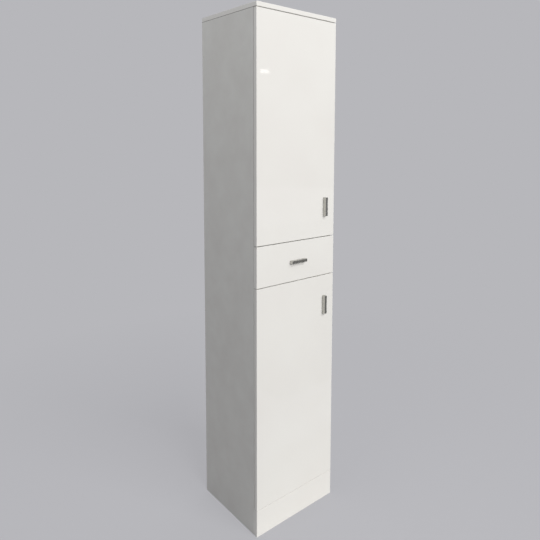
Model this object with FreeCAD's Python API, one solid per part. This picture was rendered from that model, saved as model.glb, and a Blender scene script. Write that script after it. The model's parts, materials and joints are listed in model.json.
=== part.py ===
import FreeCAD, Part
import math
import os
from FreeCAD import Placement, Rotation, Vector

# Tall bathroom cabinet with an upper door, one drawer and a lower door, all full overlay,
# under a top panel that covers the fronts.
# Millimetres. +X is to the right, -Y is the front, +Z is up.
# The origin is on the floor, under the middle of the overall box.

# Overall sizes
width = 370.0
height = 1900.0
depth = 350.0               # front faces to the rear edges of the sides

# Boards
board = 16.0                # sides, top, bottom, dividers, rails and shelves
front_board = 16.0          # doors and drawer front
hardboard = 3.0
groove_depth = 5.0
groove_slack = 0.2
edge_round = 1.0            # rounded edges of the fronts, plinth and top
side_round = 0.8            # upper outer edge of the sides, under the top
back_recess = 10.0          # rear edges of the sides to the back panel

# Heights and gaps of the fronts
plinth_height = 100.0
lower_line = 922.5          # joint between the lower door and the drawer front
drawer_pitch = 150.0        # from that joint to the one above the drawer front
plinth_seam = 1.0
front_seam = 3.0
top_seam = 2.5
front_gap = 2.0             # back of the fronts to the carcass

# Rails, shelves and their pins
rear_rail_height = 80.0
rear_rail_inset = 16.0      # behind the rail, to the back panel
fixing_rail_height = 70.0
wall_hole_spacing = 200.0
wall_hole_radius = 4.0
outer_hole_radius = 1.8     # small blind hole in the outer face of each side
outer_hole_depth = 8.0
outer_hole_drop = 132.0     # upper end of the side to that hole
upper_shelf_count = 2
lower_shelf_count = 1
shelf_setback = 20.0
shelf_slack = 1.0
shelf_pin_radius = 2.45
shelf_pin_length = 16.0
shelf_hole_radius = 2.5
shelf_hole_depth = 9.0
shelf_hole_pitch = 32.0
shelf_holes_each_way = 1
small_sides = 8             # dowels, pins and axles are many, so they are eight-sided
screw_sides = 6             # and the screws six-sided
front_hole_row = 37.0       # carcass front edge to the front row of holes
rear_hole_row = 261.0

# Dowels that hold the carcass together
dowel_radius = 4.0
dowel_length = 30.0
dowel_slack = 0.05
dowel_side_depth = 11.0     # depth of a dowel in the face of a board
dowel_inset = 45.0          # dowels to the front and rear edges
plinth_dowel_rise = 50.0

# Cup hinges
cup_radius = 17.5
cup_wall = 0.6
cup_depth = 13.2
cup_sides = 40              # the four pressed cups repeat, so each has narrow flat sides
cup_slack = 0.1
cup_rim = 0.8               # rim and ears, on the back of the door
cup_edge = 3.0              # door edge to the cup
ear_half_height = 31.0
ear_screw_rise = 22.5
ear_screw_offset = 9.5
pin_radius = 1.2
pin_length = 17.2
pin_edge = 6.6              # door edge to the pin
pin_sink = 10.0             # back of the door to the pin
pin_play = 0.05             # pin to the flats of its bores
eye_radius = 2.2
eye_width = 8.0
lug_gap = 0.3               # sides of the eye to the lugs that hold the pin
lug_radius = 2.2
arm_width = 12.0
arm_metal = 2.0
neck_below = 2.0            # pin centre to the front face of the neck
arm_from_pin = 12.1         # pin centre to the near face of the arm
arm_rib = 1.4
arm_rib_height = 4.0
plate_start = 14.0          # carcass front edge to the mounting plate
plate_length = 44.0
plate_half_width = 8.0
plate_wing = 24.0
plate_screw_rise = 16.0
arm_screw_row = 47.0
hinge_from_end = 90.0

# Screws and bumpers
screw_radius = 1.75
screw_head = 3.3
screw_head_height = 1.4
screw_slack = 0.05
plate_screw_length = 13.0
cup_screw_length = 11.0
runner_screw_length = 10.0
bumper_radius = 4.0
bumper_height = 1.7
bumper_from_end = 22.0

# Handles: a block with a finger pocket behind its closed face
handle_length = 71.0
handle_width = 10.5
handle_projection = 15.5
handle_wall = 2.5
handle_closed_wall = 3.5
handle_hole_spacing = 64.0
handle_end = 10.0
handle_round = 0.8
handle_screw_radius = 2.0
handle_screw_depth = 8.0
handle_from_edge = 52.0
handle_from_line = 116.5    # middle of a door's handle to the joint line by the drawer

# Drawer box and roller runners
drawer_side_gap = 12.5
drawer_board = 12.0
drawer_box_depth = 280.0
drawer_box_height = 100.0
drawer_lift = 14.0          # divider to the underside of the drawer sides
drawer_bottom_rise = 10.0
runner_metal = 1.2
runner_start = 2.0          # carcass front edge to the cabinet runner
runner_length = 280.0
runner_flange = 9.4         # reach of the cabinet runner's flanges from the side
drawer_runner_length = 270.0
drawer_flange_start = 2.4   # inner face of the side to the drawer runner's flange
drawer_runner_foot = 9.0
roller_radius = 8.0
roller_width = 5.0
front_roller_offset = 3.0   # inner face of the side to the front roller
rear_roller_offset = 4.2
roller_gap = 0.3            # running gap between the rollers and the runners
roller_end = 12.0           # roller centre to the end of its runner
axle_radius = 2.5
axle_play = 0.05            # axle to the flats of the roller's bore
axle_head_radius = 4.0
axle_head_height = 0.9
axle_head_slack = 0.3
flange_notch = 26.0         # front of the upper flange, cut away over the front roller

# Planes that everything is placed from
rear_y = (depth + handle_projection) / 2
face_y = rear_y - depth
front_back_y = face_y + front_board
carcass_y = front_back_y + front_gap
back_y = rear_y - back_recess - hardboard
left_x = -width / 2
inner_x = left_x + board
side_top = height - board
upper_line = lower_line + drawer_pitch
bottom_top = plinth_height + board
lower_divider_top = lower_line + board / 2
upper_divider_top = upper_line + board / 2
handle_x = width / 2 - handle_from_edge

x_axis = Vector(1, 0, 0)
y_axis = Vector(0, 1, 0)
z_axis = Vector(0, 0, 1)


def block(x0, x1, y0, y1, z0, z1):
    return Part.makeBox(x1 - x0, y1 - y0, z1 - z0, Vector(x0, y0, z0))


def rod(radius, start, direction, length):
    return Part.makeCylinder(radius, length, start, direction)


def small_rod(radius, start, direction, length, sides=small_sides):
    """A rod with flat sides, for the small pieces that repeat and for their holes."""
    corners = [Vector(radius, 0, 0)]
    turn = Rotation(z_axis, 360 / sides)
    for i in range(sides):
        corners.append(turn.multVec(corners[-1]))
    corners[-1] = corners[0]
    solid = Part.Face(Part.makePolygon(corners)).extrude(z_axis * length)
    solid.Placement = Placement(start, Rotation(z_axis, direction))
    return solid


def turning_bore(radius, play, start, direction, length):
    """A flat-sided bore in which a rod of that radius can turn."""
    return small_rod((radius + play) / math.cos(math.pi / small_sides), start, direction, length)


def along_y(section, y0, y1):
    """A section of (x, z) points, extruded from y0 to y1."""
    corners = [Vector(x, y0, z) for x, z in section]
    corners.append(corners[0])
    return Part.Face(Part.makePolygon(corners)).extrude(Vector(0, y1 - y0, 0))


def across(shape):
    """The same piece on the other side of the cabinet."""
    return shape.mirror(Vector(0, 0, 0), x_axis)


def cut_all(shape, tools):
    return shape.cut(Part.makeCompound(tools)) if tools else shape


def joined(shapes):
    return shapes[0].fuse(shapes[1:]).removeSplitter()


def rounded_board(x0, x1, y0, y1, z0, z1, rear_corners=False):
    """A board with rounded edges round its front face and, if asked, at its rear corners."""
    solid = block(x0, x1, y0, y1, z0, z1)
    edges = [edge for edge in solid.Edges if edge.CenterOfMass.y < y0 + edge_round]
    if rear_corners:
        edges += [edge for edge in solid.Edges
                  if edge.CenterOfMass.y > y1 - edge_round and runs_along(edge, z_axis)]
    return solid.makeFillet(edge_round, edges)


def runs_along(edge, axis):
    return abs(edge.tangentAt(edge.FirstParameter).dot(axis)) > 0.9


def pan_screw(seat, direction, length, radius=screw_radius):
    """A screw whose head sits on the point seat and whose shank runs along direction."""
    head_radius = screw_head * radius / screw_radius
    head = small_rod(head_radius, seat, direction * -1, screw_head_height, screw_sides)
    return joined([head, small_rod(radius, seat, direction, length, screw_sides)])


def screw_hole(seat, direction, length, radius=screw_radius):
    return small_rod(radius + screw_slack, seat, direction, length, screw_sides)


def save(name, shape):
    if isinstance(shape, list):
        shape = Part.makeCompound(shape)
    shape.exportStep("parts/" + name + ".step")
    print(name, len(shape.Solids), round(shape.Volume))


# ---------------------------------------------------------------- dowels

class Dowels:
    """Collects the dowels and the bores that they need in the sides."""

    def __init__(self):
        self.pieces = []
        self.side_bores = []

    def add(self, seam, direction):
        """A dowel whose middle is at seam; returns its bore."""
        start = seam - direction * (dowel_length / 2)
        self.pieces.append(small_rod(dowel_radius, start, direction, dowel_length))
        return small_rod(dowel_radius + dowel_slack, start - direction * dowel_slack, direction,
                         dowel_length + 2 * dowel_slack)

    def add_pair(self, y, z):
        """One dowel across each side's inner face; returns the bores of the board between."""
        bores = []
        for sign in (-1, 1):
            inward = x_axis * -sign
            seam = Vector(sign * -inner_x, y, z) + inward * (dowel_length / 2 - dowel_side_depth)
            bores.append(self.add(seam, inward))
        self.side_bores += bores
        return bores


# ---------------------------------------------------------------- carcass

def crossing_board(z_top, dowels):
    """A board from side to side, with two dowels in each end."""
    z_middle = z_top - board / 2
    bores = []
    for y in (carcass_y + dowel_inset, back_y - dowel_inset):
        bores += dowels.add_pair(y, z_middle)
    return cut_all(block(inner_x, -inner_x, carcass_y, back_y, z_top - board, z_top), bores)


def rail(y0, z0, rail_height, dowels):
    """A rail from side to side, with one dowel in each end."""
    bores = dowels.add_pair(y0 + board / 2, z0 + rail_height / 2)
    return cut_all(block(inner_x, -inner_x, y0, y0 + board, z0, z0 + rail_height), bores)


def top_panel(dowels):
    """The top, held by two dowels that stand in the upper end of each side."""
    bores = []
    lift = dowel_side_depth - dowel_length / 2
    for x in (left_x + board / 2, -left_x - board / 2):
        for y in (carcass_y + dowel_inset, back_y - dowel_inset):
            bores.append(dowels.add(Vector(x, y, side_top + lift), z_axis))
    dowels.side_bores += bores
    panel = block(left_x, -left_x, face_y, rear_y, side_top, height)
    seen = [edge for edge in panel.Edges
            if edge.CenterOfMass.y < rear_y - edge_round and not runs_along(edge, z_axis)]
    return cut_all(panel.makeFillet(edge_round, seen), bores)


def plinth_board(dowels):
    """The plinth, held by a dowel in the front edge of each side."""
    bores = []
    push = dowel_length / 2 - dowel_side_depth
    for x in (left_x + board / 2, -left_x - board / 2):
        bores.append(dowels.add(Vector(x, carcass_y + push, plinth_dowel_rise), y_axis))
    dowels.side_bores += bores
    z1 = plinth_height - plinth_seam / 2
    panel = rounded_board(left_x, -left_x, face_y, carcass_y, 0, z1, rear_corners=True)
    return cut_all(panel, bores)


def shelf_levels():
    """Underside of each shelf: the upper compartment's, then the lower one's."""
    upper_bay = (side_top - upper_divider_top - upper_shelf_count * board) / (upper_shelf_count + 1)
    lower_clear = lower_line - board / 2 - bottom_top
    lower_bay = (lower_clear - lower_shelf_count * board) / (lower_shelf_count + 1)
    upper = [upper_divider_top + upper_bay + i * (upper_bay + board) for i in range(upper_shelf_count)]
    lower = [bottom_top + lower_bay + i * (lower_bay + board) for i in range(lower_shelf_count)]
    return upper, lower


def shelf_holes():
    """The rows of holes for shelf pins in the left side."""
    holes = []
    upper, lower = shelf_levels()
    for level in upper + lower:
        for step in range(-shelf_holes_each_way, shelf_holes_each_way + 1):
            for row in (front_hole_row, rear_hole_row):
                start = Vector(inner_x, carcass_y + row, level - shelf_pin_radius + step * shelf_hole_pitch)
                holes.append(small_rod(shelf_hole_radius, start, x_axis * -1, shelf_hole_depth))
    return holes


def shelf_pins():
    pins = []
    upper, lower = shelf_levels()
    for level in upper + lower:
        for row in (front_hole_row, rear_hole_row):
            start = Vector(inner_x - shelf_hole_depth, carcass_y + row, level - shelf_pin_radius)
            pin = small_rod(shelf_pin_radius, start, x_axis, shelf_pin_length)
            pins += [pin, across(pin)]
    return pins


def side_blank():
    """The left side with its groove for the back panel and its rows of shelf holes."""
    side = block(left_x, inner_x, carcass_y, rear_y, 0, side_top)
    under_top = [edge for edge in side.Edges
                 if edge.CenterOfMass.x < left_x + side_round
                 and edge.CenterOfMass.z > side_top - side_round]
    side = side.makeFillet(side_round, under_top)
    slack = groove_slack / 2
    groove = block(inner_x - groove_depth, inner_x, back_y - slack, back_y + hardboard + slack,
                   plinth_height, side_top)
    outer_point = Vector(left_x, back_y + hardboard / 2, side_top - outer_hole_drop)
    outer_hole = small_rod(outer_hole_radius, outer_point, x_axis, outer_hole_depth)
    return side.cut(groove).cut(Part.makeCompound(shelf_holes() + [outer_hole]))


def wall_holes(y0, y1, z):
    return [rod(wall_hole_radius, Vector(x, y0, z), y_axis, y1 - y0)
            for x in (-wall_hole_spacing / 2, wall_hole_spacing / 2)]


def shelf(level):
    front_y = carcass_y + shelf_setback
    return block(inner_x + shelf_slack, -inner_x - shelf_slack, front_y, back_y - shelf_slack,
                 level, level + board)


def build_carcass(side_screw_holes):
    dowels = Dowels()
    save("top_panel", top_panel(dowels))
    save("upper_divider", crossing_board(upper_divider_top, dowels))
    save("lower_divider", crossing_board(lower_divider_top, dowels))
    save("bottom_panel", crossing_board(bottom_top, dowels))
    save("plinth_board", plinth_board(dowels))
    rear_rail_y = back_y - rear_rail_inset - board
    save("rear_plinth_rail", rail(rear_rail_y, plinth_height - rear_rail_height, rear_rail_height, dowels))
    wall_hole_z = side_top - fixing_rail_height / 2
    fixing_rail = rail(back_y - board, side_top - fixing_rail_height, fixing_rail_height, dowels)
    save("wall_fixing_rail", cut_all(fixing_rail, wall_holes(back_y - board, back_y, wall_hole_z)))
    back_edge = inner_x - groove_depth + groove_slack
    back = block(back_edge, -back_edge, back_y, back_y + hardboard, plinth_height, side_top)
    save("back_panel", cut_all(back, wall_holes(back_y, back_y + hardboard, wall_hole_z)))
    blank = side_blank()
    bores = dowels.side_bores + side_screw_holes
    left_bores = [bore for bore in bores if bore.BoundBox.Center.x < 0]
    right_bores = [bore for bore in bores if bore.BoundBox.Center.x > 0]
    save("left_side_panel", cut_all(blank, left_bores))
    save("right_side_panel", cut_all(across(blank), right_bores))
    upper, lower = shelf_levels()
    for i, level in enumerate(upper):
        save("upper_shelf_" + str(i + 1), shelf(level))
    for i, level in enumerate(lower):
        save("lower_shelf_" + str(i + 1), shelf(level))
    save("shelf_pins", shelf_pins())
    save("dowels", dowels.pieces)


# ---------------------------------------------------------------- hinges

def pin_point(z):
    return Vector(left_x + pin_edge, front_back_y - pin_sink, z)


def cup_centre(z):
    return Vector(left_x + cup_edge + cup_radius, front_back_y, z)


def hinge_cup(z):
    """The pressed cup with its rim, its ears and the holes for the pin."""
    centre = cup_centre(z)
    foot = centre - y_axis * cup_depth
    body = small_rod(cup_radius, foot, y_axis, cup_depth + cup_rim, cup_sides)
    ear_x0 = centre.x + ear_screw_offset - screw_head * 2
    ear_x1 = centre.x + ear_screw_offset + screw_head * 2
    ears = block(ear_x0, ear_x1, front_back_y, front_back_y + cup_rim,
                 z - ear_half_height, z + ear_half_height)
    corners = [edge for edge in ears.Edges if runs_along(edge, y_axis)]
    ears = ears.makeChamfer(screw_head * 1.2, corners)
    floor_point = foot + y_axis * cup_wall
    inside = small_rod(cup_radius - cup_wall, floor_point, y_axis, cup_depth + cup_rim, cup_sides)
    cup = joined([joined([body, ears]).cut(inside)] + pin_lugs(z))
    screw_holes = [screw_hole(seat, y_axis * -1, 2 * cup_rim) for seat in ear_screw_seats(z)]
    return cup.cut(Part.makeCompound([pin_bore(z)] + screw_holes))


def pin_lugs(z):
    """The two cheeks in the cup that hold the ends of the pin."""
    pin = pin_point(z)
    foot = cup_centre(z) - y_axis * cup_depth
    inside = small_rod(cup_radius - cup_wall / 2, foot, y_axis, cup_depth, cup_sides)
    near = eye_width / 2 + lug_gap
    cheeks = []
    for low in (z - pin_length / 2, z + near):
        cheek = block(left_x, pin.x + lug_radius, foot.y + cup_wall / 2, pin.y + lug_radius,
                      low, low + pin_length / 2 - near)
        cheeks.append(cheek.common(inside))
    return cheeks


def ear_screw_seats(z):
    centre = cup_centre(z)
    return [Vector(centre.x + ear_screw_offset, front_back_y + cup_rim, z + rise)
            for rise in (-ear_screw_rise, ear_screw_rise)]


def hinge_pin(z):
    return small_rod(pin_radius, pin_point(z) - z_axis * (pin_length / 2), z_axis, pin_length)


def pin_bore(z):
    return turning_bore(pin_radius, pin_play, pin_point(z) - z_axis * (pin_length / 2), z_axis, pin_length)


def arm_face_x():
    return left_x + pin_edge + arm_from_pin


def hinge_arm(z):
    """The fixed arm: an eye round the pin, a cranked neck and a ribbed strip along the side."""
    pin = pin_point(z)
    near_x = arm_face_x()
    far_x = near_x + arm_metal
    strip_y = carcass_y + plate_start
    end_y = strip_y + plate_length
    eye_z0 = z - eye_width / 2
    eye_z1 = z + eye_width / 2
    eye = rod(eye_radius, Vector(pin.x, pin.y, eye_z0), z_axis, eye_width)
    neck = block(pin.x, far_x, pin.y - neck_below, pin.y - neck_below + arm_metal, eye_z0, eye_z1)
    crank = block(near_x, far_x, pin.y - neck_below, end_y, eye_z0, eye_z1)
    arm = joined([eye, neck, crank])
    bend = [edge for edge in arm.Edges
            if abs(edge.CenterOfMass.x - far_x) < 0.01
            and abs(edge.CenterOfMass.y - (pin.y - neck_below)) < 0.01]
    arm = arm.makeFillet(arm_metal * 0.8, bend)
    z0 = z - arm_width / 2
    z1 = z + arm_width / 2
    ribs = [block(far_x, far_x + arm_rib_height, strip_y, end_y, low, low + arm_rib)
            for low in (z0, z1 - arm_rib)]
    arm = joined([arm, block(near_x, far_x, strip_y, end_y, z0, z1)] + ribs)
    return arm.cut(Part.makeCompound([pin_bore(z), screw_hole(arm_screw_seat(z), x_axis * -1, arm_metal)]))


def arm_screw_seat(z):
    return Vector(arm_face_x() + arm_metal, carcass_y + arm_screw_row, z)


def plate_screw_seats(z):
    return [Vector(arm_face_x(), carcass_y + front_hole_row, z + rise)
            for rise in (-plate_screw_rise, plate_screw_rise)]


def hinge_plate(z):
    """The winged plate between the side and the arm."""
    y0 = carcass_y + plate_start
    bar = block(inner_x, arm_face_x(), y0, y0 + plate_length, z - plate_half_width, z + plate_half_width)
    row_y = carcass_y + front_hole_row
    wing = block(inner_x, arm_face_x(), row_y - plate_half_width * 0.8, row_y + plate_half_width * 0.8,
                 z - plate_wing, z + plate_wing)
    edges = [edge for edge in wing.Edges if runs_along(edge, x_axis)]
    wing = wing.makeChamfer(plate_half_width * 0.4, edges)
    plate = joined([bar, wing])
    metal = arm_face_x() - inner_x
    holes = [screw_hole(seat, x_axis * -1, metal) for seat in plate_screw_seats(z)]
    holes.append(screw_hole(arm_screw_seat(z), x_axis * -1, metal + arm_metal))
    return plate.cut(Part.makeCompound(holes))


def hinge_screws(z):
    screws = [pan_screw(seat, x_axis * -1, plate_screw_length) for seat in plate_screw_seats(z)]
    metal = arm_face_x() - inner_x
    screws.append(pan_screw(arm_screw_seat(z), x_axis * -1, arm_metal + metal * 0.9))
    return screws


def hinge_side_holes(z):
    metal = arm_face_x() - inner_x
    return [screw_hole(Vector(inner_x, seat.y, seat.z), x_axis * -1, plate_screw_length - metal + screw_slack)
            for seat in plate_screw_seats(z)]


# ---------------------------------------------------------------- handles

def handle(centre, along, closed):
    """A block handle on the front at centre, long along one axis and closed towards the other."""
    outward = y_axis * -1
    half_length = handle_length / 2
    half_width = handle_width / 2

    def placed(a0, a1, c0, c1, p0, p1):
        first = centre + along * a0 + closed * c0 + outward * p0
        last = centre + along * a1 + closed * c1 + outward * p1
        low = Vector(min(first.x, last.x), min(first.y, last.y), min(first.z, last.z))
        high = Vector(max(first.x, last.x), max(first.y, last.y), max(first.z, last.z))
        return block(low.x, high.x, low.y, high.y, low.z, high.z)

    body = placed(-half_length, half_length, -half_width, half_width, 0, handle_projection)
    edges = [edge for edge in body.Edges if edge.CenterOfMass.y < centre.y - handle_projection + handle_round]
    body = body.makeFillet(handle_round, edges)
    pocket_half = half_length - handle_end
    pocket = placed(-pocket_half, pocket_half, -half_width, half_width - handle_closed_wall,
                    handle_wall, handle_projection - handle_wall)
    holes = [screw_hole(point, outward, handle_screw_depth, handle_screw_radius)
             for point in handle_screw_points(centre, along)]
    return body.cut(pocket).cut(Part.makeCompound(holes))


def handle_screw_points(centre, along):
    return [centre + along * offset for offset in (-handle_hole_spacing / 2, handle_hole_spacing / 2)]


def handle_screws(centre, along):
    reach = front_board + handle_screw_depth - screw_slack
    return [pan_screw(point + y_axis * front_board, y_axis * -1, reach, handle_screw_radius)
            for point in handle_screw_points(centre, along)]


def front_holes(centre, along):
    return [screw_hole(point, y_axis, front_board, handle_screw_radius)
            for point in handle_screw_points(centre, along)]


# ---------------------------------------------------------------- doors

def door_hinge_heights(z0, z1):
    return z0 + hinge_from_end, z1 - hinge_from_end


def build_door(name, z0, z1, handle_z):
    """One door with its cups, pins, handle, screws and bumpers."""
    centre = Vector(handle_x, face_y, handle_z)
    panel = rounded_board(left_x, -left_x, face_y, front_back_y, z0, z1, rear_corners=True)
    tools = front_holes(centre, z_axis)
    cup_screws = []
    pins = []
    for place, z in zip(("bottom", "top"), door_hinge_heights(z0, z1)):
        bore_start = cup_centre(z) - y_axis * (cup_depth + cup_slack)
        tools.append(rod(cup_radius + cup_slack, bore_start, y_axis, cup_depth + cup_slack))
        for seat in ear_screw_seats(z):
            cup_screws.append(pan_screw(seat, y_axis * -1, cup_screw_length))
            tools.append(screw_hole(seat, y_axis * -1, cup_screw_length + screw_slack))
        pins.append(hinge_pin(z))
        save(name + "_" + place + "_hinge_cup", hinge_cup(z))
    save(name + "_panel", cut_all(panel, tools))
    save(name + "_handle", handle(centre, z_axis, x_axis * -1))
    save(name + "_handle_screws", handle_screws(centre, z_axis))
    save(name + "_hinge_pins", pins)
    save(name + "_cup_screws", cup_screws)
    bumper_x = -left_x - board / 2
    bumpers = [small_rod(bumper_radius, Vector(bumper_x, front_back_y, z), y_axis, bumper_height)
               for z in (z0 + bumper_from_end, z1 - bumper_from_end)]
    save(name + "_bumpers", bumpers)


def build_hinges(name, z0, z1):
    """The hinge parts that stay on the left side; returns their screws and pilot holes."""
    screws = []
    holes = []
    for place, z in zip(("bottom", "top"), door_hinge_heights(z0, z1)):
        save(name + "_" + place + "_hinge_arm", hinge_arm(z))
        save(name + "_" + place + "_hinge_plate", hinge_plate(z))
        screws += hinge_screws(z)
        holes += hinge_side_holes(z)
    return screws, holes


# ---------------------------------------------------------------- drawer and runners

drawer_base = lower_divider_top + drawer_lift
drawer_side_x = inner_x + drawer_side_gap
rear_roller_z = drawer_base + roller_radius
channel_low = rear_roller_z - roller_radius - roller_gap
channel_high = rear_roller_z + roller_radius + roller_gap
carrier_z = channel_high + runner_metal + roller_gap    # underside of the drawer runner's flange
front_roller_z = carrier_z - roller_gap - roller_radius
runner_y = carcass_y + runner_start
drawer_runner_y = front_back_y + front_gap
front_roller_y = runner_y + roller_end
rear_roller_y = drawer_runner_y + drawer_runner_length - roller_end
runner_screw_rows = (0.3, 0.75)                         # shares of the runner's length


def cabinet_runner():
    """The channel on the left side, open towards the drawer."""
    web_x = inner_x + runner_metal
    tip_x = inner_x + runner_flange
    low = channel_low - runner_metal
    high = channel_high + runner_metal
    section = [(inner_x, low), (tip_x, low), (tip_x, channel_low), (web_x, channel_low),
               (web_x, channel_high), (tip_x, channel_high), (tip_x, high), (inner_x, high)]
    channel = along_y(section, runner_y, runner_y + runner_length)
    notch = block(web_x, tip_x, runner_y, runner_y + flange_notch, channel_high, high)
    holes = [screw_hole(seat, x_axis * -1, runner_metal) for seat in cabinet_runner_seats()]
    return channel.cut(notch).cut(Part.makeCompound(holes))


def cabinet_runner_seats():
    return [Vector(inner_x + runner_metal, runner_y + share * runner_length, rear_roller_z)
            for share in runner_screw_rows]


def drawer_runner():
    """The profile on the left drawer side: a foot under it, a web and a flange on the roller."""
    web_x = drawer_side_x - runner_metal
    flange_x = inner_x + drawer_flange_start
    foot_x = drawer_side_x + drawer_runner_foot
    foot_z = drawer_base - runner_metal
    top_z = carrier_z + runner_metal
    section = [(web_x, foot_z), (foot_x, foot_z), (foot_x, drawer_base), (drawer_side_x, drawer_base),
               (drawer_side_x, top_z), (flange_x, top_z), (flange_x, carrier_z), (web_x, carrier_z)]
    profile = along_y(section, drawer_runner_y, drawer_runner_y + drawer_runner_length)
    holes = [screw_hole(seat, x_axis, runner_metal) for seat in drawer_runner_seats()]
    return profile.cut(Part.makeCompound(holes))


def drawer_runner_seats():
    web_x = drawer_side_x - runner_metal
    return [Vector(web_x, drawer_runner_y + share * drawer_runner_length, rear_roller_z)
            for share in runner_screw_rows]


def roller(x, y, z):
    """A nylon roller with a bore; x is its face nearer the side."""
    wheel = rod(roller_radius, Vector(x, y, z), x_axis, roller_width)
    return wheel.cut(turning_bore(axle_radius, axle_play, Vector(x, y, z), x_axis, roller_width))


def axle(web_x, roller_far_x, y, z):
    """An axle from a runner's web, with a head beyond the roller's far face."""
    direction = x_axis if roller_far_x > web_x else x_axis * -1
    length = abs(roller_far_x - web_x) + axle_head_slack
    head = small_rod(axle_head_radius, Vector(web_x, y, z) + direction * length, direction, axle_head_height)
    return joined([small_rod(axle_radius, Vector(web_x, y, z), direction, length), head])


def both(shapes):
    return shapes + [across(shape) for shape in shapes]


def build_runners():
    """Both pairs of runners with their rollers; returns the pilot holes for the sides."""
    runner = cabinet_runner()
    save("left_cabinet_runner", runner)
    save("right_cabinet_runner", across(runner))
    save("cabinet_runner_screws",
         both([pan_screw(seat, x_axis * -1, runner_screw_length) for seat in cabinet_runner_seats()]))
    front_x = inner_x + front_roller_offset
    save("front_roller_axles", both([axle(inner_x + runner_metal, front_x + roller_width,
                                          front_roller_y, front_roller_z)]))
    save("front_rollers", both([roller(front_x, front_roller_y, front_roller_z)]))
    profile = drawer_runner()
    save("left_drawer_runner", profile)
    save("right_drawer_runner", across(profile))
    save("drawer_runner_screws",
         both([pan_screw(seat, x_axis, runner_screw_length) for seat in drawer_runner_seats()]))
    rear_x = inner_x + rear_roller_offset
    save("rear_roller_axles", both([axle(drawer_side_x - runner_metal, rear_x,
                                         rear_roller_y, rear_roller_z)]))
    save("rear_rollers", both([roller(rear_x, rear_roller_y, rear_roller_z)]))
    return both([screw_hole(seat, x_axis * -1, runner_screw_length + screw_slack)
                 for seat in cabinet_runner_seats()])


def build_drawer():
    """The drawer front with its handle, and the box behind it."""
    z0 = lower_line + front_seam / 2
    z1 = upper_line - front_seam / 2
    centre = Vector(0, face_y, (z0 + z1) / 2)
    box_inner_x = drawer_side_x + drawer_board
    box_y1 = front_back_y + drawer_box_depth
    slack = groove_slack / 2
    bottom_z = drawer_base + drawer_bottom_rise
    groove_x = box_inner_x - groove_depth
    groove = block(groove_x, -groove_x, front_back_y - groove_depth, box_y1,
                   bottom_z - slack, bottom_z + hardboard + slack)
    front = rounded_board(left_x, -left_x, face_y, front_back_y, z0, z1)
    save("drawer_front", cut_all(front, front_holes(centre, x_axis) + [groove]))
    side = block(drawer_side_x, box_inner_x, front_back_y, box_y1,
                 drawer_base, drawer_base + drawer_box_height)
    tools = [groove] + [screw_hole(seat, x_axis, runner_screw_length + screw_slack)
                        for seat in drawer_runner_seats()]
    side = cut_all(side, tools)
    save("drawer_left_side", side)
    save("drawer_right_side", across(side))
    save("drawer_back", block(box_inner_x, -box_inner_x, box_y1 - drawer_board, box_y1,
                              bottom_z + hardboard + slack, drawer_base + drawer_box_height))
    bottom_x = groove_x + groove_slack
    save("drawer_bottom", block(bottom_x, -bottom_x, front_back_y - groove_depth + groove_slack, box_y1,
                                bottom_z, bottom_z + hardboard))
    save("drawer_handle", handle(centre, x_axis, z_axis))
    save("drawer_handle_screws", handle_screws(centre, x_axis))


# ---------------------------------------------------------------- assembly

os.makedirs("parts", exist_ok=True)
lower_door = (plinth_height + plinth_seam / 2, lower_line - front_seam / 2)
upper_door = (upper_line + front_seam / 2, side_top - top_seam)
build_door("upper_door", upper_door[0], upper_door[1], upper_line + handle_from_line)
build_door("lower_door", lower_door[0], lower_door[1], lower_line - handle_from_line)
upper_screws, upper_holes = build_hinges("upper_door", upper_door[0], upper_door[1])
lower_screws, lower_holes = build_hinges("lower_door", lower_door[0], lower_door[1])
save("hinge_screws", upper_screws + lower_screws)
runner_holes = build_runners()
build_drawer()
build_carcass(upper_holes + lower_holes + runner_holes)
print("pin at", [round(v, 3) for v in pin_point(0)], "drawer floor", drawer_base)
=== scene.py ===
import json
import math
import bmesh
import bpy
from mathutils import Matrix, Vector


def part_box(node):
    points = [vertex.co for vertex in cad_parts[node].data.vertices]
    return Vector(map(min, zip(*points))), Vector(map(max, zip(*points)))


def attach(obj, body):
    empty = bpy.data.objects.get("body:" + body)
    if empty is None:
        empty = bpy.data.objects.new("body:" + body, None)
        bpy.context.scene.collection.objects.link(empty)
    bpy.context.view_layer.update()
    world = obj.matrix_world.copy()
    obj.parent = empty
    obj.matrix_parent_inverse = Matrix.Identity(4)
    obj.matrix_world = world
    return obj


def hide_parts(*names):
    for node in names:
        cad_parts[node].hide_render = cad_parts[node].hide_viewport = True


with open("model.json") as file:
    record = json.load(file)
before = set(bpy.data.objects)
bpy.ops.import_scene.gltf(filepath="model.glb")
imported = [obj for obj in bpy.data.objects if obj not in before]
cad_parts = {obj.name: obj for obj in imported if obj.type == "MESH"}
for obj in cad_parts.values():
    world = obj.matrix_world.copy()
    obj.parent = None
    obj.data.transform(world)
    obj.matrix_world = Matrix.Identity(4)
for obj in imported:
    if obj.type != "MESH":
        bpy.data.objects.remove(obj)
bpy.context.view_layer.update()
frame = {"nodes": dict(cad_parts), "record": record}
nodes = frame["nodes"]
record = frame["record"]
bodyOf = {node: body for body, group in record["behaviour"]["bodies"].items() for node in group}
slotOf = {part["node"]: part["material_slot"] for part in record["subparts"]}
scene = bpy.context.scene
mm = 0.001
weldDistance = 0.001 * mm
placeDecimals = 5       # of a metre: places and radii that agree so far are the same
print("frame loaded:", len(nodes), "nodes")

mixFirst, mixSecond, mixResult = 6, 7, 2        # the colour sockets of a Mix node: two in, one out
spreadNoise = {"From Min": 0.3, "From Max": 0.7}        # nearly all values of a noise lie between


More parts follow.
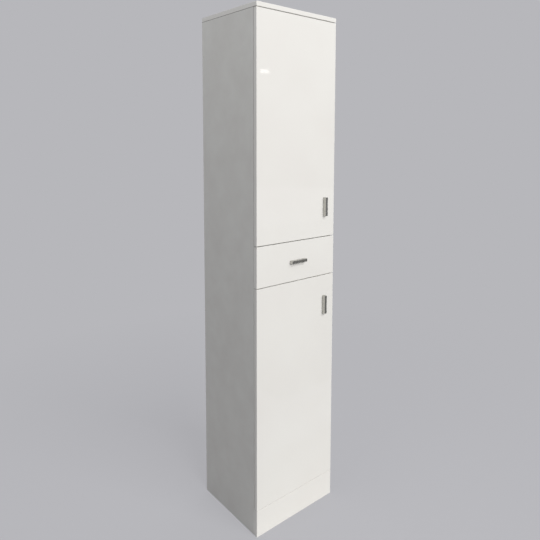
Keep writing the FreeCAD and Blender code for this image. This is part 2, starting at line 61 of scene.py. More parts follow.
def hexColour(code):
    # an sRGB hex value as linear red, green, blue and alpha
    channels = [int(code[i:i + 2], 16) / 255 for i in (0, 2, 4)]
    linear = [c / 12.92 if c <= 0.04045 else ((c + 0.055) / 1.055) ** 2.4 for c in channels]
    return (*linear, 1.0)


def addNode(owner, kind, settings=None, links=None):
    # owner is a material or the world; a node given as a source stands for its first output
    node = owner.node_tree.nodes.new(kind)
    for name, value in (settings or {}).items():
        if isinstance(name, int) or name in node.inputs:
            node.inputs[name].default_value = value
        else:
            setattr(node, name, value)
    for name, source in (links or {}).items():
        socket = source.outputs[0] if isinstance(source, bpy.types.Node) else source
        owner.node_tree.links.new(socket, node.inputs[name])
    return node


def newMaterial(name):
    # an empty material, and the place of each point in the CAD frame, in metres
    material = bpy.data.materials.new(name)
    material.use_nodes = True
    material.node_tree.nodes.clear()
    return material, addNode(material, "ShaderNodeTexCoord").outputs["Object"]


def perMetre(sizeInMm):
    return 1 / (sizeInMm * mm)


lacquer = {
    "white": "f0efeb", "shade": "edebe7",       # warm white, hardly varied
    "driftMm": 260, "peelMm": 9, "peelDepthMm": 0.0012,
    "roughness": 0.03, "ior": 1.5,
}


def glossLacquer():
    # high-gloss white polyurethane lacquer on MDF: mirror reflections broken by a faint orange peel
    material, place = newMaterial("gloss_lacquer_on_mdf")
    drift = addNode(material, "ShaderNodeTexNoise", {"Scale": perMetre(lacquer["driftMm"])},
                    {"Vector": place})
    drift = addNode(material, "ShaderNodeMapRange", spreadNoise, {"Value": drift})
    white = addNode(material, "ShaderNodeMix",
                    {"data_type": "RGBA", mixFirst: hexColour(lacquer["white"]),
                     mixSecond: hexColour(lacquer["shade"])}, {"Factor": drift})
    peel = addNode(material, "ShaderNodeTexNoise",
                   {"Scale": perMetre(lacquer["peelMm"]), "Detail": 1.0}, {"Vector": place})
    peel = addNode(material, "ShaderNodeMapRange", spreadNoise, {"Value": peel})
    uneven = addNode(material, "ShaderNodeBump", {"Distance": lacquer["peelDepthMm"] * mm},
                     {"Height": peel})
    surface = addNode(material, "ShaderNodeBsdfPrincipled",
                      {"Roughness": lacquer["roughness"], "IOR": lacquer["ior"]},
                      {"Base Color": white.outputs[mixResult], "Normal": uneven})
    addNode(material, "ShaderNodeOutputMaterial", links={"Surface": surface})
    return material


melamine = {
    "white": "e5e5e1", "shade": "dfdeda", "cloudMm": 70,
    "pearlMm": 1.6, "pearlDepthMm": 0.02,       # the real pearl is about 0.4 mm, too fine to show
    "roughness": (0.42, 0.46), "sheenMm": 4.8, "ior": 1.5,
    "joint": "2c2b29", "jointMm": 1.2, "jointFadeMm": 0.2,      # painted shadow: a dark line that stands in for the shade in the hairline gap under the top panel
}


def melamineFace():
    # melamine-faced chipboard: satin white paper under resin, pressed with a fine pearl texture
    material, place = newMaterial("melamine_faced_chipboard")
    cloud = addNode(material, "ShaderNodeTexNoise",
                    {"Scale": perMetre(melamine["cloudMm"]), "Detail": 4.0}, {"Vector": place})
    cloud = addNode(material, "ShaderNodeMapRange", spreadNoise, {"Value": cloud})
    white = addNode(material, "ShaderNodeMix",
                    {"data_type": "RGBA", mixFirst: hexColour(melamine["white"]),
                     mixSecond: hexColour(melamine["shade"])}, {"Factor": cloud})
    # painted shadow: the top of the sides, just under the top panel, turns dark as if shaded in the
    # joint gap there
    height = addNode(material, "ShaderNodeSeparateXYZ", links={"Vector": place}).outputs["Z"]
    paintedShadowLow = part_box("top_panel")[0][2] - melamine["jointMm"] * mm
    inPaintedShadow = addNode(material, "ShaderNodeMapRange",
                      {"From Min": paintedShadowLow, "From Max": paintedShadowLow + melamine["jointFadeMm"] * mm},
                      {"Value": height})
    withPaintedShadow = addNode(material, "ShaderNodeMix",
                    {"data_type": "RGBA", mixSecond: hexColour(melamine["joint"])},
                    {"Factor": inPaintedShadow, mixFirst: white.outputs[mixResult]})
    pearl = addNode(material, "ShaderNodeTexNoise", {"Scale": perMetre(melamine["pearlMm"])},
                    {"Vector": place})
    pearl = addNode(material, "ShaderNodeMapRange", spreadNoise, {"Value": pearl})
    pressed = addNode(material, "ShaderNodeBump", {"Distance": melamine["pearlDepthMm"] * mm},
                      {"Height": pearl})
    low, high = melamine["roughness"]
    sheen = addNode(material, "ShaderNodeTexNoise", {"Scale": perMetre(melamine["sheenMm"])},
                    {"Vector": place})
    sheen = addNode(material, "ShaderNodeMapRange", {**spreadNoise, "To Min": low, "To Max": high},
                    {"Value": sheen})
    surface = addNode(material, "ShaderNodeBsdfPrincipled", {"IOR": melamine["ior"]},
                      {"Base Color": withPaintedShadow.outputs[mixResult], "Roughness": sheen,
                       "Normal": pressed})
    addNode(material, "ShaderNodeOutputMaterial", links={"Surface": surface})
    return material


hardboard = {
    "white": "dddcd8", "shade": "d9d8d3",       # the printed face
    "fibreMm": 3, "fibreDepthMm": 0.012,
    "raw": "b6966f", "rawDark": "9d7f5b", "flakeMm": 6,     # the brown side, out of sight
    "rawBeyond": 0.5, "roughness": 0.6, "ior": 1.47,
}


def facedHardboard(name, rawWay):
    # hardboard with one printed white face; the other, towards rawWay, is raw brown pressed fibre
    material, place = newMaterial(name)
    fibres = addNode(material, "ShaderNodeTexNoise",
                     {"Scale": perMetre(hardboard["fibreMm"]), "Detail": 3.0}, {"Vector": place})
    fibres = addNode(material, "ShaderNodeMapRange", spreadNoise, {"Value": fibres})
    flakes = addNode(material, "ShaderNodeTexNoise",
                     {"Scale": perMetre(hardboard["flakeMm"]), "Detail": 6.0}, {"Vector": place})
    flakes = addNode(material, "ShaderNodeMapRange", spreadNoise, {"Value": flakes})
    white = addNode(material, "ShaderNodeMix",
                    {"data_type": "RGBA", mixFirst: hexColour(hardboard["white"]),
                     mixSecond: hexColour(hardboard["shade"])}, {"Factor": fibres})
    brown = addNode(material, "ShaderNodeMix",
                    {"data_type": "RGBA", mixFirst: hexColour(hardboard["raw"]),
                     mixSecond: hexColour(hardboard["rawDark"])}, {"Factor": flakes})
    outward = addNode(material, "ShaderNodeNewGeometry").outputs["True Normal"]
    facing = addNode(material, "ShaderNodeVectorMath", {"operation": "DOT_PRODUCT", 1: rawWay},
                     {0: outward})
    onRaw = addNode(material, "ShaderNodeMath",
                    {"operation": "GREATER_THAN", 1: hardboard["rawBeyond"]},
                    {0: facing.outputs["Value"]})
    bothSides = addNode(material, "ShaderNodeMix", {"data_type": "RGBA"},
                        {"Factor": onRaw, mixFirst: white.outputs[mixResult],
                         mixSecond: brown.outputs[mixResult]})
    pressed = addNode(material, "ShaderNodeBump", {"Distance": hardboard["fibreDepthMm"] * mm},
                      {"Height": fibres})
    surface = addNode(material, "ShaderNodeBsdfPrincipled",
                      {"Roughness": hardboard["roughness"], "IOR": hardboard["ior"]},
                      {"Base Color": bothSides.outputs[mixResult], "Normal": pressed})
    addNode(material, "ShaderNodeOutputMaterial", links={"Surface": surface})
    return material


satinMetal = {
    "colour": "c9c8c3", "dark": "b5b4af",
    "brushMm": 0.9, "brushDepthMm": 0.003,      # real brush marks are about 0.2 mm, too fine to show
    "sheenMm": 1.8, "roughness": (0.22, 0.32),
    "upright": (1, 1, 0.08), "level": (0.08, 1, 1),     # how the brush marks are drawn out
}


def satinChrome(name, along):
    # satin chrome on die-cast zinc: brushed before plating, so soft streaks run along the pull
    material, place = newMaterial(name)
    drawnOut = addNode(material, "ShaderNodeMapping", {"Scale": along}, {"Vector": place})
    streaks = addNode(material, "ShaderNodeTexNoise",
                      {"Scale": perMetre(satinMetal["brushMm"]), "Detail": 3.0},
                      {"Vector": drawnOut})
    streaks = addNode(material, "ShaderNodeMapRange", spreadNoise, {"Value": streaks})
    chrome = addNode(material, "ShaderNodeMix",
                     {"data_type": "RGBA", mixFirst: hexColour(satinMetal["colour"]),
                      mixSecond: hexColour(satinMetal["dark"])}, {"Factor": streaks})
    brushed = addNode(material, "ShaderNodeBump", {"Distance": satinMetal["brushDepthMm"] * mm},
                      {"Height": streaks})
    low, high = satinMetal["roughness"]
    sheen = addNode(material, "ShaderNodeTexNoise", {"Scale": perMetre(satinMetal["sheenMm"])},
                    {"Vector": drawnOut})
    sheen = addNode(material, "ShaderNodeMapRange", {**spreadNoise, "To Min": low, "To Max": high},
                    {"Value": sheen})
    surface = addNode(material, "ShaderNodeBsdfPrincipled", {"Metallic": 1.0},
                      {"Base Color": chrome.outputs[mixResult], "Roughness": sheen,
                       "Normal": brushed})
    addNode(material, "ShaderNodeOutputMaterial", links={"Surface": surface})
    return material


nickel = {
    "colour": "d2cfc7", "dark": "c6c2b9",
    "markMm": 2.5, "markDepthMm": 0.002, "sheenMm": 4, "roughness": (0.3, 0.4),
}


def nickelSteel():
    # nickel-plated pressed steel: bright, a little yellow, with faint press marks
    material, place = newMaterial("nickel_plated_steel")
    marks = addNode(material, "ShaderNodeTexNoise",
                    {"Scale": perMetre(nickel["markMm"]), "Detail": 3.0}, {"Vector": place})
    marks = addNode(material, "ShaderNodeMapRange", spreadNoise, {"Value": marks})
    plating = addNode(material, "ShaderNodeMix",
                      {"data_type": "RGBA", mixFirst: hexColour(nickel["colour"]),
                       mixSecond: hexColour(nickel["dark"])}, {"Factor": marks})
    pressed = addNode(material, "ShaderNodeBump", {"Distance": nickel["markDepthMm"] * mm},
                      {"Height": marks})
    low, high = nickel["roughness"]
    sheen = addNode(material, "ShaderNodeTexNoise", {"Scale": perMetre(nickel["sheenMm"])},
                    {"Vector": place})
    sheen = addNode(material, "ShaderNodeMapRange", {**spreadNoise, "To Min": low, "To Max": high},
                    {"Value": sheen})
    surface = addNode(material, "ShaderNodeBsdfPrincipled", {"Metallic": 1.0},
                      {"Base Color": plating.outputs[mixResult], "Roughness": sheen,
                       "Normal": pressed})
    addNode(material, "ShaderNodeOutputMaterial", links={"Surface": surface})
    return material


powderCoat = {
    "white": "e4e3de", "shade": "dbdad5",
    "peelMm": 1.8, "peelDepthMm": 0.02, "roughness": 0.4, "ior": 1.5,
}


def coatedSteel():
    # white epoxy powder coat on rolled steel: soft gloss with a coarse orange peel
    material, place = newMaterial("powder_coated_steel")
    peel = addNode(material, "ShaderNodeTexNoise", {"Scale": perMetre(powderCoat["peelMm"])},
                   {"Vector": place})
    peel = addNode(material, "ShaderNodeMapRange", spreadNoise, {"Value": peel})
    white = addNode(material, "ShaderNodeMix",
                    {"data_type": "RGBA", mixFirst: hexColour(powderCoat["white"]),
                     mixSecond: hexColour(powderCoat["shade"])}, {"Factor": peel})
    uneven = addNode(material, "ShaderNodeBump", {"Distance": powderCoat["peelDepthMm"] * mm},
                     {"Height": peel})
    surface = addNode(material, "ShaderNodeBsdfPrincipled",
                      {"Roughness": powderCoat["roughness"], "IOR": powderCoat["ior"]},
                      {"Base Color": white.outputs[mixResult], "Normal": uneven})
    addNode(material, "ShaderNodeOutputMaterial", links={"Surface": surface})
    return material


nylon = {
    "milky": "e9e6dc", "shade": "dfdbcf", "flowMm": 6, "flowDepthMm": 0.01,
    "roughness": 0.38, "ior": 1.53, "lightInMm": 2, "lightInShare": 0.3,
}


def mouldedNylon():
    # natural moulded nylon: milky, waxy, light goes a little way in
    material, place = newMaterial("moulded_nylon")
    flow = addNode(material, "ShaderNodeTexNoise", {"Scale": perMetre(nylon["flowMm"])},
                   {"Vector": place})
    flow = addNode(material, "ShaderNodeMapRange", spreadNoise, {"Value": flow})
    milky = addNode(material, "ShaderNodeMix",
                    {"data_type": "RGBA", mixFirst: hexColour(nylon["milky"]),
                     mixSecond: hexColour(nylon["shade"])}, {"Factor": flow})
    moulded = addNode(material, "ShaderNodeBump", {"Distance": nylon["flowDepthMm"] * mm},
                      {"Height": flow})
    surface = addNode(material, "ShaderNodeBsdfPrincipled",
                      {"Roughness": nylon["roughness"], "IOR": nylon["ior"],
                       "Subsurface Weight": nylon["lightInShare"],
                       "Subsurface Scale": nylon["lightInMm"] * mm},
                      {"Base Color": milky.outputs[mixResult], "Normal": moulded})
    addNode(material, "ShaderNodeOutputMaterial", links={"Surface": surface})
    return material


beech = {
    "pale": "d8b68c", "pore": "b98f62",
    "poreMm": 1.2, "poreDepthMm": 0.05,     # real pores are narrower, too fine to show
    "grain": (0.15, 1, 1),      # pores are drawn out along the dowel
    "roughness": 0.6, "ior": 1.5,
}


def turnedBeech():
    # turned beech dowel: pale pinkish wood with short dark pores along the grain
    material, place = newMaterial("turned_beech")
    drawnOut = addNode(material, "ShaderNodeMapping", {"Scale": beech["grain"]}, {"Vector": place})
    pores = addNode(material, "ShaderNodeTexNoise",
                    {"Scale": perMetre(beech["poreMm"]), "Detail": 4.0}, {"Vector": drawnOut})
    pores = addNode(material, "ShaderNodeMapRange", spreadNoise, {"Value": pores})
    wood = addNode(material, "ShaderNodeMix",
                   {"data_type": "RGBA", mixFirst: hexColour(beech["pale"]),
                    mixSecond: hexColour(beech["pore"])}, {"Factor": pores})
    openPores = addNode(material, "ShaderNodeBump", {"Distance": beech["poreDepthMm"] * mm},
                    {"Height": pores})
    surface = addNode(material, "ShaderNodeBsdfPrincipled",
                      {"Roughness": beech["roughness"], "IOR": beech["ior"]},
                      {"Base Color": wood.outputs[mixResult], "Normal": openPores})
    addNode(material, "ShaderNodeOutputMaterial", links={"Surface": surface})
    return material


urethane = {
    "colour": "f2f2ee", "clear": 0.85,
    "skinMm": 1.5, "roughness": (0.12, 0.22), "ior": 1.46,
}


def clearUrethane():
    # clear soft polyurethane bumper: glassy dome with a slightly tacky, matte skin
    material, place = newMaterial("clear_polyurethane")
    low, high = urethane["roughness"]
    skin = addNode(material, "ShaderNodeTexNoise", {"Scale": perMetre(urethane["skinMm"])},
                   {"Vector": place})
    skin = addNode(material, "ShaderNodeMapRange", {**spreadNoise, "To Min": low, "To Max": high},
                   {"Value": skin})
    surface = addNode(material, "ShaderNodeBsdfPrincipled",
                      {"Base Color": hexColour(urethane["colour"]), "IOR": urethane["ior"],
                       "Transmission Weight": urethane["clear"]}, {"Roughness": skin})
    addNode(material, "ShaderNodeOutputMaterial", links={"Surface": surface})
    return material


finishes = {        # one for each material slot of the record
    "gloss_white_lacquer": glossLacquer(),
    "white_melamine": melamineFace(),
    "white_hardboard": facedHardboard("white_faced_hardboard", (0, 1, 0)),
    "satin_chrome": satinChrome("satin_chrome_on_zinc", satinMetal["upright"]),
    "nickel_steel": nickelSteel(),
    "white_coated_steel": coatedSteel(),
    "white_nylon": mouldedNylon(),
    "beech": turnedBeech(),
    "clear_bumper": clearUrethane(),
}
turnedFinishes = {      # the same finishes on pieces that lie another way
    "drawer_handle": satinChrome("satin_chrome_brushed_level", satinMetal["level"]),
    "drawer_bottom": facedHardboard("hardboard_raw_below", (0, 0, -1)),
}
print("finishes made:", len(finishes) + len(turnedFinishes))

softening = {"boardEdgeMm": 0.4, "metalEdgeMm": 0.15, "segments": 2, "creaseDegrees": 35,
             "flatWeight": 100}
boardSlots = ("gloss_white_lacquer", "white_melamine")
metalSlots = ("satin_chrome", "nickel_steel", "white_coated_steel")


def shadeSmooth(piece):
    # smooth over rounded edges, sharp at creases, and large flat faces kept flat
    for polygon in piece.data.polygons:
        polygon.use_smooth = True
    split = piece.modifiers.new("creases", "EDGE_SPLIT")
    split.split_angle = math.radians(softening["creaseDegrees"])
    flat = piece.modifiers.new("flat faces", "WEIGHTED_NORMAL")
    flat.mode = "FACE_AREA"
    flat.weight = softening["flatWeight"]


def dress(node):
    # a CAD piece keeps its shape, and gets its finish and softened edges
    piece = nodes[node]
    slot = slotOf[node]
    piece.data.materials.clear()
    piece.data.materials.append(turnedFinishes.get(node, finishes[slot]))
    weld = piece.modifiers.new("weld", "WELD")
    weld.merge_threshold = weldDistance
    if slot in boardSlots + metalSlots:
        edgeMm = softening["boardEdgeMm"] if slot in boardSlots else softening["metalEdgeMm"]
        bevel = piece.modifiers.new("soft edges", "BEVEL")
        bevel.width = edgeMm * mm
        bevel.segments = softening["segments"]
        bevel.limit_method = "ANGLE"
        bevel.angle_limit = math.radians(softening["creaseDegrees"])
        bevel.use_clamp_overlap = True
    shadeSmooth(piece)


for node in nodes:
    dress(node)
print("CAD pieces dressed")


# the small fasteners have few flat sides in CAD, so they are made again, round, in the same places
def middleOf(points):
    middle = sum(points, Vector()) / len(points)
    return tuple(round(c, placeDecimals) for c in middle)


def islandsOf(node):
    # the points of each separate solid in a node
    shape = bmesh.new()
    shape.from_mesh(nodes[node].data)
    bmesh.ops.remove_doubles(shape, verts=shape.verts, dist=weldDistance)
    waiting = {vert.index for vert in shape.verts}
    shape.verts.ensure_lookup_table()
    groups = []
    while waiting:
        stack = [waiting.pop()]
        group = []
        while stack:
            vert = shape.verts[stack.pop()]
            group.append(vert.co.copy())
            for edge in vert.link_edges:
                other = edge.other_vert(vert).index
                if other in waiting:
                    waiting.remove(other)
                    stack.append(other)
        groups.append(group)
    shape.free()
    return sorted(groups, key=middleOf)


def boxOf(points):
    low = Vector([min(p[i] for p in points) for i in range(3)])
    high = Vector([max(p[i] for p in points) for i in range(3)])
    return low, high


def stepsOf(points):
    # the long axis of a fastener, and (distance along it, radius) at each step of its shape
    low, high = boxOf(points)
    size = high - low
    axis = max(range(3), key=lambda i: size[i])
    middle = (low + high) / 2
    others = [i for i in range(3) if i != axis]
    steps = {}
    for p in points:
        spread = math.hypot(*(p[i] - middle[i] for i in others))
        steps.setdefault(round(p[axis], placeDecimals), []).append(spread)
    middle[axis] = 0
    return axis, middle, sorted((place, max(spreads)) for place, spreads in steps.items())


def lathe(profile, sides):
    # turns (radius, height) points round Z; a zero radius closes the end
    shape = bmesh.new()
    rings = []
    turns = [2 * math.pi * i / sides for i in range(sides)]
    for radius, height in profile:
        if radius == 0:
            ring = [(0, 0, height)]
        else:
            ring = [(radius * math.cos(t), radius * math.sin(t), height) for t in turns]
        rings.append([shape.verts.new(place) for place in ring])
    for first, second in zip(rings, rings[1:]):
        for i in range(sides):
            corners = [first[i % len(first)], first[(i + 1) % len(first)],
                       second[(i + 1) % len(second)], second[i % len(second)]]
            shape.faces.new(list(dict.fromkeys(corners)))
    bmesh.ops.recalc_face_normals(shape, faces=shape.faces)
    return shape


def meshFrom(shape, name):
    mesh = bpy.data.meshes.new(name)
    shape.to_mesh(mesh)
    shape.free()
    return mesh


def objectFrom(mesh, name):
    piece = bpy.data.objects.new(name, mesh)
    scene.collection.objects.link(piece)
    return piece


def pointAlong(axis, positive, origin):
    # a matrix that stands a lathed piece on origin with +Z along the axis
    direction = Vector([0, 0, 0])
    direction[axis] = 1 if positive else -1
    return Matrix.Translation(origin) @ direction.to_track_quat("Z", "Y").to_matrix().to_4x4()


def cutBy(mesh, cutter, name):
    # mesh minus cutter, as a new mesh
    target = objectFrom(mesh, name)
    tool = objectFrom(cutter, name + "_tool")
    cut = target.modifiers.new("cut", "BOOLEAN")
    cut.object = tool
    cut.solver = "EXACT"
    bpy.context.view_layer.update()
    evaluated = target.evaluated_get(bpy.context.evaluated_depsgraph_get())
    result = bpy.data.meshes.new_from_object(evaluated)
    for spare in (target, tool):
        bpy.data.objects.remove(spare)
    return result


recess = {"reach": 0.62, "width": 0.2, "depth": 0.75, "taper": 0.55}        # of the head's radius


def crossTool(headRadius, topHeight):
    # the pointed cross that a driver fits
    shape = bmesh.new()
    reach = recess["reach"] * headRadius
    half = recess["width"] * headRadius / 2
    deep = topHeight - recess["depth"] * headRadius
    above = topHeight + headRadius
    outline = [(reach, half), (half, half), (half, reach),
               (-half, reach), (-half, half), (-reach, half),
               (-reach, -half), (-half, -half), (-half, -reach),
               (half, -reach), (half, -half), (reach, -half)]
    top = [shape.verts.new((x, y, above)) for x, y in outline]
    low = [shape.verts.new((x * recess["taper"], y * recess["taper"], deep)) for x, y in outline]
    shape.faces.new(top)
    shape.faces.new(list(reversed(low)))
    for i in range(len(outline)):
        j = (i + 1) % len(outline)
        shape.faces.new([low[i], low[j], top[j], top[i]])
    bmesh.ops.recalc_face_normals(shape, faces=shape.faces)
    return meshFrom(shape, "cross")


def headProfile(head, headRadius, headHeight):
    # a low dome and a rim, from the top down to the seat at height 0
    shoulder = head["shoulder"]
    turns = [math.radians(degrees) for degrees in head["domeDegrees"]]
    dome = [(headRadius * math.sin(turn), headHeight * (shoulder + (1 - shoulder) * math.cos(turn)))
            for turn in turns]
    rim = [(headRadius, headHeight * head["rim"]), (headRadius * head["underside"], 0)]
    return [(0, headHeight)] + dome + rim


screw = {
    "sides": 24, "domeDegrees": (20, 40, 60, 78),
    "shoulder": 0.35, "rim": 0.2, "underside": 0.97,        # shares of the head
    "pitch": 0.7, "root": 0.74, "crest": 0.98, "tip": 0.7, "plain": 2,      # of the shank's radius
    "rootAt": 0.35, "crestAt": 0.85,        # shares of the pitch
}


def screwMesh(headRadius, headHeight, shankRadius, length):
    # a pan head with a cross recess over a threaded shank
    profile = headProfile(screw, headRadius, headHeight) + [(shankRadius, 0)]
    pitch = shankRadius * screw["pitch"]
    for i in range(max(2, int((length - shankRadius * screw["plain"]) / pitch))):
        profile.append((shankRadius * screw["root"], -pitch * (i + screw["rootAt"])))
        profile.append((shankRadius * screw["crest"], -pitch * (i + screw["crestAt"])))
    profile += [(shankRadius * screw["tip"], -length + shankRadius), (0, -length)]
    whole = meshFrom(lathe(profile, screw["sides"]), "screw")
    return cutBy(whole, crossTool(headRadius, headHeight), "screw")


rivet = {
    "sides": 32, "domeDegrees": (15, 35, 55, 75),
    "shoulder": 0.4, "rim": 0.3, "underside": 0.96,     # shares of the head
}


def rivetMesh(headRadius, headHeight, shankRadius, length):
    # a roller axle: a plain turned shank with a low riveted head
    profile = headProfile(rivet, headRadius, headHeight)
    profile += [(shankRadius, 0), (shankRadius, -length), (0, -length)]
    return meshFrom(lathe(profile, rivet["sides"]), "rivet")


remade = []


def gather(name, placed, node):
    # joins (mesh, matrix) pairs into one piece that stands for a CAD node
    shape = bmesh.new()
    for mesh, matrix in placed:
        copy = mesh.copy()
        copy.transform(matrix)
        shape.from_mesh(copy)
        bpy.data.meshes.remove(copy)
    piece = objectFrom(meshFrom(shape, name), name)
    shadeSmooth(piece)
    piece.data.materials.clear()
    piece.data.materials.append(finishes[slotOf[node]])
    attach(piece, bodyOf[node])
    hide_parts(node)
    remade.append(piece)


def remakeHeaded(node, meshOf, ending):
    # screws and axles: the wide end is the head
    placed = []
    made = {}
    for points in islandsOf(node):
        axis, middle, steps = stepsOf(points)
        headLow = steps[0][1] > steps[-1][1]
        if not headLow:
            steps = steps[::-1]
        top, seat, tip = steps[0][0], steps[1][0], steps[-1][0]
        headRadius, shankRadius = steps[0][1], steps[-1][1]
        key = (round(headRadius, placeDecimals), round(abs(tip - seat), placeDecimals - 1))
        if key not in made:
            made[key] = meshOf(headRadius, abs(seat - top), shankRadius, abs(tip - seat))
        origin = middle.copy()
        origin[axis] = seat
        placed.append((made[key], pointAlong(axis, not headLow, origin)))
    gather(node + ending, placed, node)


rodSides = 20
rods = {        # how far the ends are chamfered or rounded
    "dowels": {"edgeMm": 1.0},
    "shelf_pins": {"edgeMm": 0.5, "waist": 0.85},       # a shallow ring at the cabinet's side
    "hinge_pins": {"edgeMm": 0.25},     # plain drawn wire
}


def rodProfile(radius, length, edge, waist):
    profile = [(0, 0), (radius - edge, 0), (radius, edge)]
    if waist:
        ring = length / 2
        profile += [(radius, ring - edge), (radius * waist, ring), (radius, ring + edge)]
    return profile + [(radius, length - edge), (radius - edge, length), (0, length)]


def remakeRods(node, rod):
    placed = []
    made = {}
    for points in islandsOf(node):
        axis, middle, steps = stepsOf(points)
        length = steps[-1][0] - steps[0][0]
        key = round(length, placeDecimals)
        if key not in made:
            profile = rodProfile(steps[0][1], length, rod["edgeMm"] * mm, rod.get("waist"))
            made[key] = meshFrom(lathe(profile, rodSides), node)
        origin = middle.copy()
        origin[axis] = steps[0][0]
        placed.append((made[key], pointAlong(axis, True, origin)))
    gather(node + "_turned", placed, node)


bumper = {      # (width, height) as shares of the radius and the length
    "sides": 24, "dome": ((1, 0.25), (0.93, 0.6), (0.7, 0.88), (0.35, 0.98)),
}


def remakeBumpers(node):
    # a flat foot on the door and a low dome towards the cabinet
    placed = []
    for points in islandsOf(node):
        low, high = boxOf(points)
        radius, length = (high.x - low.x) / 2, high.y - low.y
        middle = (low + high) / 2
        middle.y = low.y
        dome = [(radius * width, length * height) for width, height in bumper["dome"]]
        profile = [(0, 0), (radius, 0)] + dome + [(0, length)]
        domed = meshFrom(lathe(profile, bumper["sides"]), node)
        placed.append((domed, pointAlong(1, True, middle)))
    gather(node + "_domed", placed, node)


def nodesEnding(ending):
    return [node for node in nodes if node.endswith(ending)]


for node in nodesEnding("_screws"):
    remakeHeaded(node, screwMesh, "_cross_head")
for node in nodesEnding("_axles"):
    remakeHeaded(node, rivetMesh, "_riveted")
for kind, rod in rods.items():
    for node in nodesEnding(kind):
        remakeRods(node, rod)
for node in nodesEnding("_bumpers"):
    remakeBumpers(node)
print("fasteners remade:", len(remade))

floor = {
    "radius": 14.0, "sides": 64,
    "seen": "b7b7bb", "colour": "6f6e6c",       # what the camera sees, and what lights the cabinet
    "shaded": "c6c6ca", "shadowShare": 0.3, "shadowFades": (0.9, 2.4),
}
mats = {        # boards laid before the plinth, for the gloss and the metal to mirror
    "white_mat": {"colour": "b5b4b1", "low": (-0.30, -0.53), "high": (3.0, -0.16)},
    "grey_mat": {"colour": "858583", "low": (0.5, -5.5), "high": (5.5, -0.9)},
}
matHeight = 0.4 * mm


def groundMaterial(name, colour, mirroredToo):
    # matte ground; the camera, and if wanted the gloss, see an even grey that keeps the shadow
    material, place = newMaterial(name)
    apart = addNode(material, "ShaderNodeVectorMath", {"operation": "LENGTH"}, {0: place})
    near, far = floor["shadowFades"]
    share = addNode(material, "ShaderNodeMapRange",
                    {"From Min": near, "From Max": far, "To Min": floor["shadowShare"],
                     "To Max": 0.0}, {"Value": apart.outputs["Value"]})
    even = addNode(material, "ShaderNodeEmission", {"Color": hexColour(floor["seen"])})
    shaded = addNode(material, "ShaderNodeBsdfDiffuse", {"Color": hexColour(floor["shaded"])})
    seen = addNode(material, "ShaderNodeMixShader", links={"Fac": share, 1: even, 2: shaded})
    matte = addNode(material, "ShaderNodeBsdfDiffuse", {"Color": hexColour(colour)})
    ray = addNode(material, "ShaderNodeLightPath")
    seenBy = ray.outputs["Is Camera Ray"]
    if mirroredToo:
        for kind in ("Is Glossy Ray", "Is Transmission Ray"):
            seenBy = addNode(material, "ShaderNodeMath", {"operation": "MAXIMUM"},
                             {0: seenBy, 1: ray.outputs[kind]})
    surface = addNode(material, "ShaderNodeMixShader", links={"Fac": seenBy, 1: matte, 2: seen})
    addNode(material, "ShaderNodeOutputMaterial", links={"Surface": surface})
    return material


def layFloor():
    shape = bmesh.new()
    bmesh.ops.create_circle(shape, cap_ends=True, segments=floor["sides"], radius=floor["radius"])
    ground = objectFrom(meshFrom(shape, "floor"), "floor")
    ground.data.materials.append(groundMaterial("floor", floor["colour"], True))


def layMat(name):
    # to the camera the same grey as the floor, but gloss and metal mirror its own colour
    (left, front), (right, rear) = mats[name]["low"], mats[name]["high"]
    corners = ((left, front), (right, front), (right, rear), (left, rear))
    shape = bmesh.new()
    shape.faces.new([shape.verts.new((x, y, matHeight)) for x, y in corners])
    sheet = objectFrom(meshFrom(shape, name), name)
    sheet.data.materials.append(groundMaterial(name, mats[name]["colour"], False))


camera = {      # matched to the straight edges in the photograph
    "place": (-1230.5 * mm, -1604.75 * mm, 1441.5 * mm),
    "yaw": 41.970, "pitch": -5.263, "roll": 0.491,
    "focalPixels": 520.34, "imagePixels": 540, "sensorMm": 36.0,
    "centrePixel": (310.06, 187.65),        # where the optical axis meets the picture
}


def placeCamera():
    data = bpy.data.cameras.new("camera")
    data.sensor_width = camera["sensorMm"]
    data.lens = camera["focalPixels"] * camera["sensorMm"] / camera["imagePixels"]
    middle = (camera["imagePixels"] - 1) / 2
    data.shift_x = (middle - camera["centrePixel"][0]) / camera["imagePixels"]
    data.shift_y = (camera["centrePixel"][1] - middle) / camera["imagePixels"]
    yaw, pitch, roll = (math.radians(camera[turn]) for turn in ("yaw", "pitch", "roll"))
    across = math.cos(pitch)
    ahead = Vector((math.sin(yaw) * across, math.cos(yaw) * across, math.sin(pitch)))
    level = ahead.cross(Vector((0, 0, 1))).normalized()
    upright = level.cross(ahead)
    right = level * math.cos(roll) + upright * math.sin(roll)
    up = upright * math.cos(roll) - level * math.sin(roll)
    cam = bpy.data.objects.new("camera", data)
    scene.collection.objects.link(cam)
    turned = Matrix((right, up, -ahead)).transposed().to_4x4()
    cam.matrix_world = Matrix.Translation(camera["place"]) @ turned
    scene.camera = cam


placeCamera()
layFloor()
for name in mats:
    layMat(name)

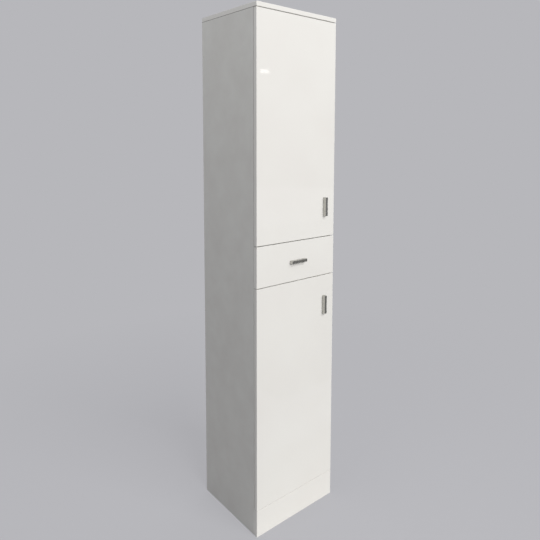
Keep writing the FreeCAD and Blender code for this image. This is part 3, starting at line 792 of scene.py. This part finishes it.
lights = {      # the fronts would mirror the large key as one white sheet, so it isn't mirrored
    "key": {"place": (0.3, -9.0, 6.2), "aim": (0, -0.1, 5.0), "size": (8.0, 8.0), "watts": 1040,
            "colour": "fffefc", "mirrored": False},
    "fill": {"place": (-1.7, -0.2, 2.7), "aim": (-0.1, 0, 1.7), "size": (1.0, 1.0), "watts": 6.6,
             "colour": "f6f7f6", "mirrored": True},
    "lamp": {"place": (1.337, -2.151, 1.991), "aim": (-0.152, -0.167, 1.67),
             "size": (0.068, 0.032), "watts": 0.03,         # the small reflex on the upper door
             "colour": "fffefc", "mirrored": True},
}
room = {
    "level": 0.79,
    "darkTowards": (0.69, -0.72, 0.0), "darkSpread": (0.55, 0.95),      # the unlit end
    "darkLevel": 0.18,
    "paleTowards": (0.66, 0.66, 0.35), "paleSpread": (0.3, 0.9),        # behind the cabinet
    "paleLevel": 1.6,
}


def studioRoom():
    # the camera sees an even pale grey; the room itself is darker at one end, paler at the other
    world = bpy.data.worlds.new("studio")
    world.use_nodes = True
    world.node_tree.nodes.clear()
    direction = addNode(world, "ShaderNodeTexCoord").outputs["Generated"]
    toDark = addNode(world, "ShaderNodeVectorMath",
                     {"operation": "DOT_PRODUCT", 1: room["darkTowards"]}, {0: direction})
    toPale = addNode(world, "ShaderNodeVectorMath",
                     {"operation": "DOT_PRODUCT", 1: room["paleTowards"]}, {0: direction})
    first, last = room["darkSpread"]
    level = addNode(world, "ShaderNodeMapRange",
                    {"From Min": first, "From Max": last, "To Min": room["level"],
                     "To Max": room["darkLevel"]}, {"Value": toDark.outputs["Value"]})
    first, last = room["paleSpread"]
    level = addNode(world, "ShaderNodeMapRange",
                    {"From Min": first, "From Max": last, "To Max": room["paleLevel"]},
                    {"Value": toPale.outputs["Value"], "To Min": level})
    ray = addNode(world, "ShaderNodeLightPath")
    strength = addNode(world, "ShaderNodeMix", {"data_type": "FLOAT", 3: 1.0},
                       {"Factor": ray.outputs["Is Camera Ray"], 2: level})
    backdrop = addNode(world, "ShaderNodeBackground", {"Color": hexColour(floor["seen"])},
                       {"Strength": strength})
    addNode(world, "ShaderNodeOutputWorld", links={"Surface": backdrop})
    return world


def addLights():
    for name, settings in lights.items():
        data = bpy.data.lights.new(name, "AREA")
        data.shape = "RECTANGLE"
        data.size, data.size_y = settings["size"]
        data.energy = settings["watts"]
        data.color = hexColour(settings["colour"])[:3]
        lamp = bpy.data.objects.new(name, data)
        scene.collection.objects.link(lamp)
        lamp.location = settings["place"]
        aim = Vector(settings["aim"]) - lamp.location
        lamp.rotation_mode = "QUATERNION"
        lamp.rotation_quaternion = aim.to_track_quat("-Z", "Y")
        lamp.visible_camera = False
        lamp.visible_glossy = settings["mirrored"]


addLights()
scene.world = studioRoom()
scene.view_settings.view_transform = "Standard"
print("stage, camera and lights set:", len(lights), "lights")

bpy.context.view_layer.update()
